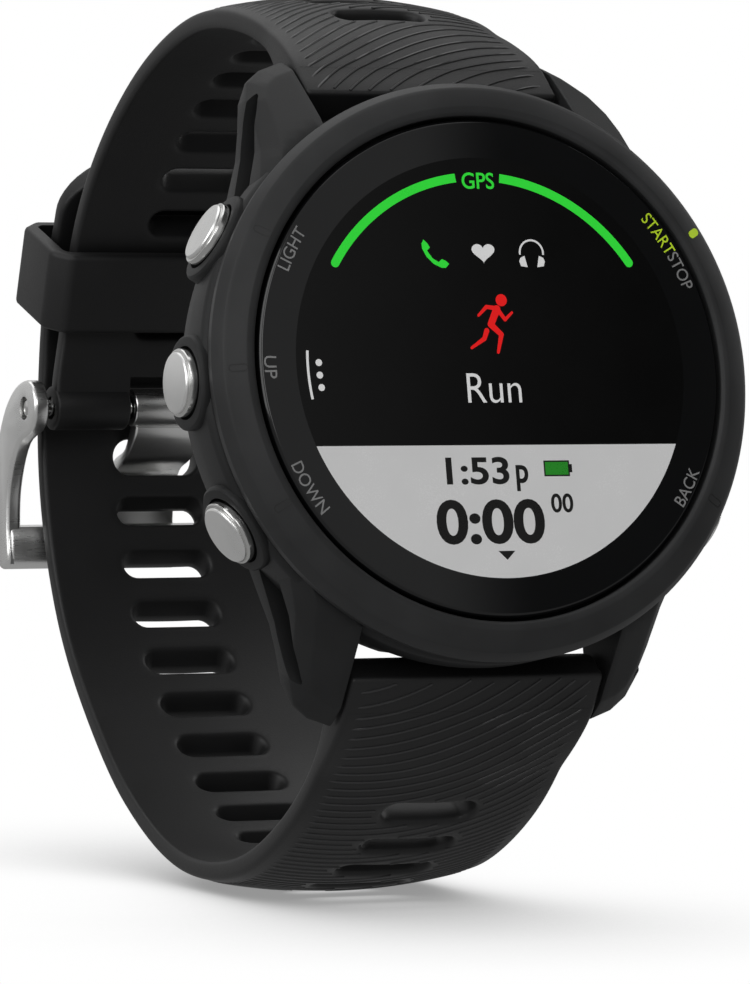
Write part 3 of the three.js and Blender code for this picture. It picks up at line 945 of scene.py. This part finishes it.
def flatStrap(length, slots, notch):
    # the strap unrolled, with its slots and rims, as a thin plate
    half, cell, rim = strap["half"], strap["cell"], strap["rimWidth"]
    columns, rows = round(2 * half / cell), round(length / cell)
    bm = bmesh.new()
    bmesh.ops.create_grid(bm, x_segments=columns, y_segments=rows, size=0.5)
    bmesh.ops.transform(
        bm, verts=bm.verts,
        matrix=Matrix.Translation((0, length / 2, 0)) @ Matrix.Diagonal((2 * half, length, 1, 1)),
    )
    edgeSteps = strap["edgeSteps"]
    step = 2 * half / columns
    inner = half - edgeSteps[-1]
    for vert in bm.verts:
        fromEdge = round((half - abs(vert.co.x)) / step)
        if fromEdge < len(edgeSteps):
            vert.co.x = math.copysign(half - edgeSteps[fromEdge], vert.co.x)
        else:
            vert.co.x *= inner / (half - (len(edgeSteps) - 1) * step)
    inSlots = [f for f in bm.faces if slotGap(*f.calc_center_median().xy, slots)[0] < rim]
    bmesh.ops.delete(bm, geom=inSlots, context="FACES")
    if notch:
        width, start = notch
        gone = [
            f for f in bm.faces
            if abs(f.calc_center_median().x) < width and f.calc_center_median().y > start
        ]
        bmesh.ops.delete(bm, geom=gone, context="FACES")

    def atSlot(vert):
        return slotGap(*vert.co.xy, slots)[0] < 2 * cell

    rimVerts = [v for v in bm.verts if v.is_boundary and atSlot(v)]
    for vert in rimVerts:
        gap, out, foot = slotGap(*vert.co.xy, slots)
        vert.co.xy = foot + out * (slotWidth(foot.y) / 2 + rim)
    inward = [v for v in bm.verts if not v.is_boundary]
    near = [v for v in inward if slotGap(*v.co.xy, slots)[0] < rim + 2 * cell]
    for _ in range(4):
        bmesh.ops.smooth_vert(bm, verts=near, factor=0.5, use_axis_x=True, use_axis_y=True)
    for target in strap["rimSteps"]:
        edges = [e for e in bm.edges if e.is_boundary and all(atSlot(v) for v in e.verts)]
        made = bmesh.ops.extrude_edge_only(bm, edges=edges)
        for vert in newVerts(made):
            gap, out, foot = slotGap(*vert.co.xy, slots)
            vert.co.xy = foot + out * (slotWidth(foot.y) / 2 + target)
    made = bmesh.ops.extrude_face_region(bm, geom=list(bm.faces))
    bmesh.ops.translate(bm, vec=(0, 0, 1), verts=newVerts(made))
    upright = [e for e in bm.edges if abs(e.verts[0].co.z - e.verts[1].co.z) > 0.5]
    bmesh.ops.subdivide_edges(bm, edges=upright, cuts=1)
    return bm


def bentStrap(name, notch=None):
    values = straps[name]
    line = StrapLine(values)
    tip = name == "lower"
    bm = flatStrap(line.length, values["slots"], notch)
    half, tipLength = strap["half"], strap["tipLength"]
    for vert in bm.verts:
        across, distance, level = vert.co
        edge = half - abs(across)
        if tip and distance > line.length - tipLength:
            share = (distance - line.length + tipLength) / tipLength * strap["tipShare"]
            narrow = math.cos(share * math.pi / 2)
            edge = min(edge * narrow, (1 - share) * tipLength * strap["tipTaper"])
            across *= narrow
            distance = line.length - tipLength + tipLength * math.sin(share * math.pi / 2)
        gap, out, foot = slotGap(across, distance, values["slots"])
        atRim = roundedDrop(gap, strap["rimRound"])
        outer = outerHeight(across, distance) - roundedDrop(edge, strap["edgeRound"]) - atRim
        inner = roundedDrop(edge, strap["innerRound"]) + atRim
        height = inner + (outer - inner) * level
        if not tongued(foot.y):
            if 0.25 < level < 0.75 and gap < 0.05:
                across -= out.x * strap["waist"]
                distance -= out.y * strap["waist"]
            distance -= strap["lean"] * level * eased(1 - gap / strap["leanReach"])
        vert.co = line.place(across, distance, height)
    bmesh.ops.recalc_face_normals(bm, faces=bm.faces)
    return bm, line


ribs = {
    "corner": 11.2,
    "first": -3.4,
    "centre": -24,
    "drift": 9,
    "settle": 4,
    "widening": 0.75,
    "calming": 3.5,
    "fade": 1.5,
    "sunk": 0.5,
    "stepLength": 0.7,
    "edgeGap": 0.3,
}


def ribLines(name, line):
    # moulded ribs: arcs round a point over one edge, kept on the strap's face and out of its slots
    values = straps[name]
    corner = ribs["corner"] * values["side"]
    curve = bpy.data.curves.new("ribs", "CURVE")
    curve.dimensions = "3D"
    curve.bevel_depth = strap["ribWidth"]
    curve.bevel_resolution = 1
    curve.use_fill_caps = True
    start = ribs["first"]
    while start < line.length:
        middle = ribs["centre"] + ribs["drift"] * math.exp(-max(start, -1) / ribs["settle"])
        radius = start - middle
        steps = max(int(radius * math.pi / 2 / ribs["stepLength"]), 12)
        run = []
        for step in range(steps + 1):
            turn = math.pi / 2 * step / steps
            across = corner - values["side"] * radius * math.sin(turn)
            distance = middle + radius * math.cos(turn)
            fits = abs(across) < strap["half"] - ribs["edgeGap"] and (
                0.2 - strap["lead"] < distance < line.length - strap["tipLength"]
            )
            if fits and ribClear(across, distance, values["slots"]):
                sunk = ribs["sunk"] * eased(1 - (strap["half"] - abs(across)) / ribs["fade"])
                height = outerHeight(across, distance) - strap["ribWidth"] + strap["ribRise"] - sunk
                run.append(line.place(across, distance, height))
            else:
                addRun(curve, run)
                run = []
        addRun(curve, run)
        calm = math.exp(-max(start + 3, 0) / ribs["calming"])
        start += strap["ribPitch"] + ribs["widening"] * calm
    return meshFromCurve(curve)


def addRun(curve, points):
    if len(points) < 3:
        return
    spline = curve.splines.new("POLY")
    spline.points.add(len(points) - 1)
    for item, point in zip(spline.points, points):
        item.co = (*point, 1)


def meshFromCurve(curve):
    holder = linked("curveHolder", curve)
    depsgraph = bpy.context.evaluated_depsgraph_get()
    mesh = bpy.data.meshes.new_from_object(holder.evaluated_get(depsgraph))
    bpy.data.objects.remove(holder)
    bm = bmesh.new()
    bm.from_mesh(mesh)
    bpy.data.meshes.remove(mesh)
    return bm


knuckleValues = {
    "outside": 2.1,
    "bore": (1.3, -12, 12),
    "window": ((-9.2, 0, -1.3), (-4.4, 6, 1.3)),
    "windowTilt": 25,
    "pinSleeve": 1.9,
    "notchHalf": 4.1,
    "notchFrom": 65.2,
}


def knuckle(up, line):
    # the end that holds the spring bar: round inside, level with the strap outside
    half, lead, top = strap["half"], strap["lead"], strap["startHeight"] - 0.01
    corners = [(-lead, top), (-1.6, top), (0, top), (0.5, top), (0.5, 0.4), (-lead, 0.9)]
    outline = [line.place(0, distance, height).yz for distance, height in corners]
    shape = softened(prism(outline, "X", -half, half), 0.4, 4, 40)
    values = knuckleValues
    y, z = watch["barY"], up * watch["barZ"]
    barrel = softened(rod(values["outside"], -half, half, y, z), 0.3, 3, 40)
    shape = carved(shape, barrel, "UNION")
    shape = carved(shape, rod(*values["bore"], y, z, 32))
    window = block(*values["window"])
    tilt = Matrix.Rotation(-up * math.radians(values["windowTilt"]), 4, "X")
    window.transform(Matrix.Translation((0, y, z)) @ tilt)
    return carved(shape, window)


def pinRod(radius, low, high, sides=48):
    return rod(radius, low, high, watch["pinY"], watch["pinZ"], sides)


def pinKnuckles():
    shape = bmesh.new()
    for side in (-1, 1):
        low, high = sorted((side * knuckleValues["notchHalf"], side * strap["half"]))
        sleeve = softened(pinRod(knuckleValues["pinSleeve"], low, high), 0.25, 3, 40)
        joined(shape, carved(sleeve, pinRod(1, low - 1, high + 1, 32)))
    return shape


def addStraps():
    for name, up in (("upper", 1), ("lower", -1)):
        notch = (knuckleValues["notchHalf"], knuckleValues["notchFrom"]) if up > 0 else None
        body, line = bentStrap(name, notch)
        joined(body, knuckle(up, line))
        if name == "upper":
            joined(body, pinKnuckles())
        bodyName = f"strap_{name}"
        finishedPiece(f"{name}_strap", body, bodyName, "silicone", [bodyName], 40, False)
        ribRuns = ribLines(name, line)
        # the ribs take the lighter silicone, a painted highlight
        finishedPiece(f"{name}_strap_ribs", ribRuns, bodyName, "siliconeRibPaintedHighlight", (), 60, False)
        print(f"{name} strap made")


addStraps()


# ---------- keeper and buckle

keeperValues = {
    "distance": 57.6,
    "length": 7,
    "halfWidth": 11.3,
    "halfHeight": 3.65,
    "wall": 1.2,
    "lift": 3.05,
}


def addKeeper():
    values = keeperValues

    def loop(grow, chamfer):
        w, h = values["halfWidth"] + grow, values["halfHeight"] + grow
        return [
            (-w + chamfer, -h), (w - chamfer, -h), (w, -h + chamfer), (w, h - chamfer),
            (w - chamfer, h), (-w + chamfer, h), (-w, h - chamfer), (-w, -h + chamfer),
        ]

    half = values["length"] / 2
    band = prism(loop(values["wall"], 1.5), "Y", -half, half)
    softened(band, 0.5, 4, 30)
    hole = softened(prism(loop(0, 0.5), "Y", -half - 1, half + 1), 0.2, 3, 30)
    band = carved(band, hole)
    line = StrapLine(straps["upper"])
    point, heading = line.at(values["distance"])
    along = Vector((0, heading.x, heading.y))
    out = Vector((1, 0, 0)).cross(along)
    turn = Matrix((Vector((1, 0, 0)), along, out)).transposed().to_4x4()
    middle = Vector((0, point.x, point.y)) + out * values["lift"]
    band.transform(Matrix.Translation(middle) @ turn)
    finishedPiece("strap_keeper", band, "keeper", "silicone", ["keeper"], 30, False)


buckleValues = {
    "arm": [
        (66.4, 10.7), (69.6, 9.3), (72.6, 5.6), (74.2, 1), (74.3, -2.6), (73.4, -4.2), (71.6, -4.1),
        (71.2, -1), (70.2, 2.4), (67.4, 5.6), (63.6, 6.5), (62.6, 8.4), (63.6, 10.4),
    ],
    "bar": [(71.3, -0.9), (74.2, -0.9), (74.3, -2.6), (73.4, -4.2), (71.6, -4.1)],
    "inside": 11.9,
    "outside": 13.3,
    "tongue": [
        (65.8, 7.4), (68, 5.35), (70.9, 4.75), (72.8, 3.15), (74, 0), (74.4, -4), (73.3, -4.2),
        (73, -0.3), (72.1, 2.2), (70.7, 3.75), (67.7, 4.45), (65, 6.6),
    ],
    "tongueHalf": 3.1,
    "pinHole": (1.0, -15, 15, 40),
    "barrel": (1.6, -3.5, 3.5, 64),
    "axle": (0.7, -13.1, 13.1),
    "notch": ((-3.5, 72.6, -6), (3.5, 76, 1)),
}


def smoothPrism(outline, low, high):
    return prism(smoothOutline(outline, 5), "X", low, high)


def addBuckle():
    values = buckleValues
    inside, outside = values["inside"], values["outside"]
    shape = smoothPrism(values["bar"], -outside + 0.35, outside - 0.35)
    softened(shape, 0.3, 3, 50)
    notch = softened(block(*values["notch"]), 0.25, 3, 30)
    shape = carved(shape, notch)
    for low, high in ((inside, outside), (-outside, -inside)):
        arm = softened(smoothPrism(values["arm"], low, high), 0.35, 4, 50)
        arm = carved(arm, pinRod(*values["pinHole"]))
        joined(shape, arm)
    finishedPiece("buckle_hoop", shape, "buckle_frame", "satinSteel", ["buckle_frame"], 30, False)

    half = values["tongueHalf"]
    plate = softened(smoothPrism(values["tongue"], -half, half), 0.22, 3, 50)
    plate = carved(plate, pinRod(*values["pinHole"]))
    barrel = softened(pinRod(*values["barrel"]), 0.15, 3, 40)
    barrel = carved(barrel, pinRod(*values["pinHole"]))
    joined(plate, barrel)
    finishedPiece("buckle_tooth", plate, "buckle_tongue", "satinSteel", ["buckle_tongue"], 30, False)

    pin = softened(pinRod(*values["axle"]), 0.12, 3, 40)
    finishedPiece("buckle_axle", pin, "strap_upper", "polishedSteel", ["buckle_pin"])


addKeeper()
addBuckle()
print("keeper and buckle made")


# ---------- what the dial shows

inlay = {"sunk": 0.06, "display": 0.008, "panel": 0.014, "figure": 0.02, "above": 0.021, "charge": 0.024}


def inlaid(bm, outline, rise=inlay["figure"]):
    return joined(bm, prism(outline, "Y", -rise, inlay["sunk"]))


def arcBand(radius, width, start, end, steps=48):
    sweep = [start + (end - start) * step / steps for step in range(steps + 1)]
    outer = [polar(radius + width / 2, angle) for angle in sweep]
    return outer + [polar(radius - width / 2, angle) for angle in reversed(sweep)]


def dot(x, z, radius, steps=28):
    return [(x + a, z + b) for a, b in (polar(radius, 360 * i / steps) for i in range(steps))]


def stroke(bm, start, end, width, endWidth, rise):
    # a straight limb with round ends that may taper
    a, b = Vector(start), Vector(end)
    heading = math.degrees(math.atan2(b.y - a.y, b.x - a.x))
    outline = []
    for middle, size, first in ((a, width, 90), (b, endWidth, -90)):
        for step in range(9):
            x, z = polar(size / 2, heading + first + 180 * step / 8)
            outline.append((middle.x + x, middle.y + z))
    return inlaid(bm, outline, rise)


def lettering(text, width, height, bold=0):
    # flat letters fitted to a box round the origin, facing the wearer
    curve = bpy.data.curves.new("letters", "FONT")
    curve.body = text
    curve.offset = bold
    curve.extrude = 0.5
    curve.resolution_u = 6
    bm = meshFromCurve(curve)
    low = Vector([min(v.co[i] for v in bm.verts) for i in range(3)])
    high = Vector([max(v.co[i] for v in bm.verts) for i in range(3)])
    size = high - low
    bm.transform(Matrix.Translation(-(low + high) / 2))
    bm.transform(Matrix.Diagonal((width / size.x, height / size.y, 1 / size.z, 1)))
    for vert in bm.verts:
        front = vert.co.z > 0
        vert.co = (vert.co.x, -inlay["figure"] if front else inlay["sunk"], vert.co.y)
    return bm


def written(bm, text, x, z, width, height, bold=0):
    letters = lettering(text, width, height, bold)
    letters.transform(Matrix.Translation((x, 0, z)))
    return joined(bm, letters)


def aroundRim(text, degrees, length, clockwise):
    letters = lettering(text, length, labelValues["height"])
    way = -1 if clockwise else 1
    for vert in letters.verts:
        angle = degrees + way * math.degrees(vert.co.x / labelValues["radius"])
        x, z = polar(labelValues["radius"] - way * vert.co.z, angle)
        vert.co.x, vert.co.z = x, z
    return letters


labelValues = {"radius": 18.65, "height": 1.0}
labels = (
    ("LIGHT", 150.3, 3.6, True),
    ("UP", 180, 1.75, False),
    ("DOWN", 210, 4.35, False),
    ("STOP", 24.2, 3.05, True),
    ("BACK", -30.8, 3.2, False),
)
dialValues = {
    "arcRadius": 15.0,
    "arcWidth": 0.7,
    "arcGap": 7.2,
    "arcEnds": (33.4, 147.2),
    "divide": -6.12,
    "iconsZ": 8.95,
    "headsetX": 4.14,
}


def addDisplay():
    radius = watch["displayRadius"]
    panel = inlaid(bmesh.new(), dot(0, 0, radius, 160), inlay["display"])
    finishedPiece("display_window", panel, "case", "displayBlack")
    start = math.degrees(math.asin(dialValues["divide"] / radius))
    foot = [polar(radius, -180 - start + (180 + 2 * start) * i / 96) for i in range(97)]
    grey = inlaid(bmesh.new(), foot, inlay["panel"])
    finishedPiece("data_panel", grey, "case", "displayGrey")


def addLabels():
    words = bmesh.new()
    for text, degrees, length, clockwise in labels:
        joined(words, aroundRim(text, degrees, length, clockwise))
    addFigures("button_words", words, "labelGrey")
    start = aroundRim("START", 34.6, 3.6, True)
    addFigures("start_word", start, "labelLime")


def addFigures(name, shape, finish):
    finishedPiece(name, shape, "case", finish, (), 30, False)


def addSignalArc():
    shape = bmesh.new()
    radius, width = dialValues["arcRadius"], dialValues["arcWidth"]
    gap = dialValues["arcGap"]
    right, left = dialValues["arcEnds"]
    for first, last in ((right, 90 - gap), (90 + gap, left)):
        inlaid(shape, arcBand(radius, width, first, last))
    for angle in (right, left):
        inlaid(shape, dot(*polar(radius, angle), width / 2), inlay["above"])
    written(shape, "GPS", 0.02, 14.68, 2.75, 1.3, 0.012)
    # the handset
    z = dialValues["iconsZ"]
    inlaid(shape, [
        (-5.02, z + 1.05), (-4.68, z + 0.72), (-4.52, z + 0.42), (-4.78, z + 0.18), (-4.36, z - 0.42),
        (-3.86, z - 0.72), (-3.58, z - 0.48), (-3.24, z - 0.62), (-2.98, z - 0.86), (-3.3, z - 1.18),
        (-3.66, z - 1.16), (-4.3, z - 0.86), (-4.86, z - 0.3), (-5.18, z + 0.34), (-5.2, z + 0.72),
    ])
    addFigures("green_figures", shape, "displayGreen")


def addWhiteFigures():
    shape = bmesh.new()
    z = dialValues["iconsZ"]
    heart = []
    for step in range(48):
        t = 2 * math.pi * step / 48
        x = 16 * math.sin(t) ** 3
        y = 13 * math.cos(t) - 5 * math.cos(2 * t) - 2 * math.cos(3 * t) - math.cos(4 * t)
        heart.append((x * 0.061, z + 0.1 + y * 0.052))
    inlaid(shape, heart)
    middle = dialValues["headsetX"]
    hoop = [(x + middle, y + z + 0.05) for x, y in arcBand(1.0, 0.15, -8, 188, 32)]
    inlaid(shape, hoop)
    cup = ((0.62, 0.18), (0.98, 0.34), (1.1, 0.62), (0.98, 1.0), (0.42, 1.08))
    for side in (-1, 1):
        inlaid(shape, [(middle + side * x, z - low) for x, low in cup], inlay["above"])
    written(shape, "Run", 0.03, -1.66, 4.6, 2.32, -0.006)
    inlaid(shape, arcBand(15.55, 0.2, 175.2, 189.2))
    for angle in (178.6, 182.4, 186.2):
        inlaid(shape, dot(*polar(14.62, angle), 0.27))
    addFigures("white_figures", shape, "displayWhite")


def addRunner():
    # head, body, arms and legs of a plain running figure
    limbs = (
        ((0.78, 4.55), (0.18, 3.35), 0.62, 0.56),
        ((0.72, 4.62), (-0.1, 4.72), 0.36, 0.32),
        ((-0.1, 4.72), (-0.82, 4.05), 0.3, 0.22),
        ((0.86, 4.5), (1.42, 3.72), 0.36, 0.3),
        ((1.42, 3.72), (2.05, 4.28), 0.28, 0.2),
        ((0.2, 3.3), (1.0, 2.55), 0.52, 0.42),
        ((1.0, 2.55), (0.62, 1.15), 0.4, 0.24),
        ((-0.22, 2.85), (-0.48, 2.22), 0.42, 0.36),
        ((-0.48, 2.22), (-1.62, 1.5), 0.36, 0.22),
    )
    shape = bmesh.new()
    for step, (start, end, width, endWidth) in enumerate(limbs):
        stroke(shape, start, end, width, endWidth, inlay["figure"] + 0.0008 * step)
    inlaid(shape, dot(1.22, 5.25, 0.48))
    addFigures("red_runner", shape, "displayRed")


times = (
    # text, middle, size and how much bolder
    ("1:53", -1.95, -8.12, 5.35, 2.15, 0.022),
    ("p", 1.82, -8.72, 1.05, 2.05, 0.022),
    ("0:00", -1.16, -12.1, 9.2, 3.5, 0.028),
    ("00", 5.05, -10.7, 1.9, 1.5, 0.02),
)


def addTimes():
    ink = bmesh.new()
    for line in times:
        written(ink, *line)
    inlaid(ink, [(-0.72, -14.38), (0.72, -14.38), (0, -15.08)])
    inlaid(ink, [(3.72, -7.36), (5.92, -7.36), (5.92, -8.6), (3.72, -8.6)])
    inlaid(ink, [(5.9, -7.66), (6.14, -7.66), (6.14, -8.3), (5.9, -8.3)], inlay["above"])
    addFigures("dark_figures", ink, "displayInk")
    charge = [(3.84, -7.48), (5.8, -7.48), (5.8, -8.48), (3.84, -8.48)]
    cell = inlaid(bmesh.new(), charge, inlay["charge"])
    finishedPiece("charge_bar", cell, "case", "batteryGreen")


addDisplay()
addLabels()
addSignalArc()
addWhiteFigures()
addRunner()
addTimes()
print("dial made")


# ---------- pieces that keep their shape

nodeFinishes = {
    "display_panel": "displayBlack",
    "inner_chassis": "casePolymer",
    "battery": "cellFoil",
    "vibration_motor": "satinSteel",
    "gps_antenna": "goldPlate",
    "main_board": "solderMask",
    "sensor_board": "solderMask",
    "beeper": "goldPlate",
    "seal": "sealRubber",
    "gasket": "sealRubber",
    "switch": "switchPlastic",
    "clip": "satinSteel",
    "spring_bar": "satinSteel",
    "release_pin": "satinSteel",
}


def finishNodes():
    # each kept node takes the finish of the first word its name holds
    for name, node in frame["nodes"].items():
        for part, finish in nodeFinishes.items():
            if part in name:
                node.data.materials.clear()
                node.data.materials.append(finishes[finish][1])
                break
        else:
            if not node.hide_render:
                print("no finish for", name)


finishNodes()
print("kept pieces finished")
